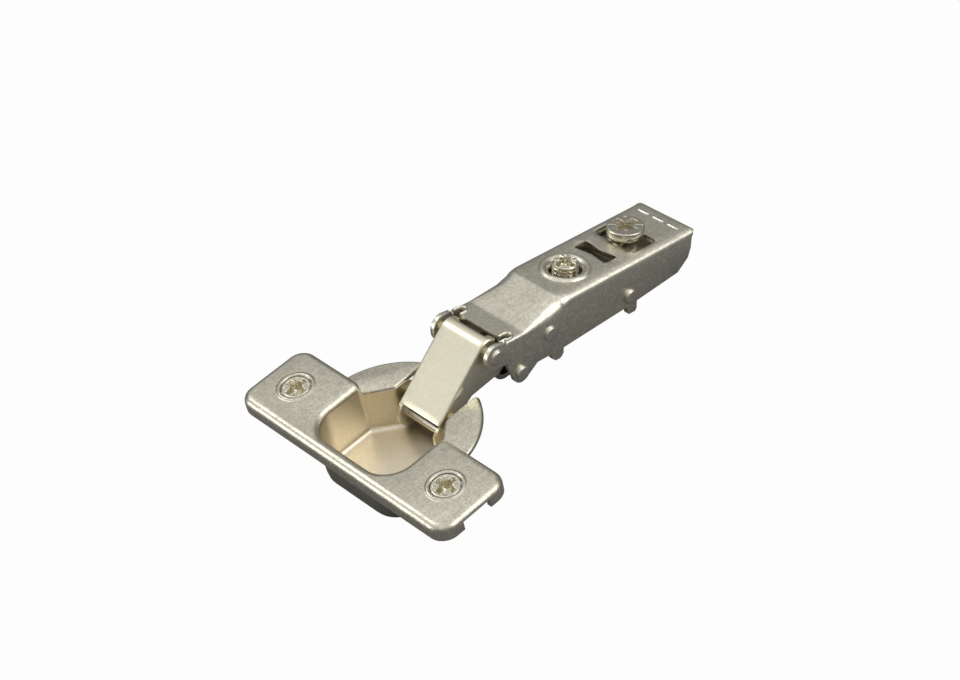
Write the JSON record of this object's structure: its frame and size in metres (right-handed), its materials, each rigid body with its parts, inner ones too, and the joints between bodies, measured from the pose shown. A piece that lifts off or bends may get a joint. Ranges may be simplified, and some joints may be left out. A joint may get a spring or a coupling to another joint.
{
  "type": "concealed cabinet hinge",
  "caption": "Concealed cabinet hinge with a pressed cup on a screw-on flange, an opening linkage and a clip-on arm with adjusting screws.",
  "frame": {"origin": "on the axis of the cup's bore at the door face, under the round rim", "axes": "+Z out of the door, +X from the cup towards the arm, Y along the flange"},
  "size_m": [0.1037, 0.0662, 0.0215],
  "materials": {
    "cup_steel": "satin nickel plate",
    "link_steel": "satin nickel plate, warmer",
    "arm_steel": "satin nickel plate",
    "inner_steel": "dull plated steel",
    "screw_steel": "bright nickel plate",
    "pin_steel": "bright rivet steel",
    "spring_steel": "spring wire"
  },
  "bodies": {
    "cup": {"cup": "cup_steel", "cup_screw_left": "screw_steel", "cup_screw_right": "screw_steel", "outer_cup_pin": "pin_steel", "inner_cup_pin": "pin_steel"},
    "outer_link": {"outer_link": "link_steel", "closing_spring": "spring_steel"},
    "inner_link": {"inner_link": "inner_steel"},
    "arm": {"arm": "arm_steel", "outer_arm_pin": "pin_steel", "inner_arm_pin": "pin_steel", "guide_rivet_left": "pin_steel", "guide_rivet_right": "pin_steel", "tilt_rivet_left": "pin_steel", "tilt_rivet_right": "pin_steel"},
    "saddle": {"saddle": "inner_steel"},
    "overlay_screw": {"overlay_screw": "screw_steel"},
    "depth_screw": {"depth_screw": "screw_steel"},
    "base": {"base": "inner_steel", "lever_pin": "pin_steel", "lever_spring": "spring_steel"},
    "release_lever": {"release_lever": "inner_steel"}
  },
  "joints": [
    {"name": "fold", "type": "hinge", "parent": "cup", "child": "outer_link", "pos_m": [0.0092, 0, -0.0055], "axis": [0, -1, 0], "range_deg": [0, 112.9]},
    {"name": "inner_link_turn", "type": "hinge", "parent": "cup", "child": "inner_link", "pos_m": [0.01185, 0, -0.0025], "axis": [0, -1, 0], "range_deg": [0, 128.74]},
    {"name": "arm_turn", "type": "hinge", "parent": "outer_link", "child": "arm", "pos_m": [0.0246, 0, 0.0071], "axis": [0, -1, 0], "range_deg": [-9.91, 0]},
    {"name": "overlay_tilt", "type": "hinge", "parent": "arm", "child": "saddle", "pos_m": [0.06459, 0, -0.00549], "axis": [0, -1, 0], "range_deg": [-2.4, 2.4]},
    {"name": "overlay_screw_spin", "type": "hinge", "parent": "saddle", "child": "overlay_screw", "pos_m": [0.05408, 0, 0.00322], "axis": [0.2267, 0, 0.974], "range_deg": [-184.6, 184.6]},
    {"name": "depth_slide", "type": "slide", "parent": "saddle", "child": "base", "axis": [0.974, 0, -0.2267], "range_m": [-0.002, 0.003]},
    {"name": "depth_screw_spin", "type": "hinge", "parent": "saddle", "child": "depth_screw", "pos_m": [0.07289, 0, -0.00116], "axis": [0.2267, 0, 0.974], "range_deg": [-361, 541]},
    {"name": "lever_press", "type": "hinge", "parent": "base", "child": "release_lever", "pos_m": [0.07213, 0, -0.00704], "axis": [0, -1, 0], "range_deg": [0, 12], "stiffness_Nm_per_rad": 0.02}
  ],
  "couplings": [
    {"joint": "inner_link_turn", "follows": "fold", "ratio": 1.1402},
    {"joint": "arm_turn", "follows": "fold", "ratio": -0.087716},
    {"joint": "overlay_screw_spin", "follows": "overlay_tilt", "ratio": -76.705},
    {"joint": "depth_screw_spin", "follows": "depth_slide", "rad_per_m": 3141.6}
  ]
}
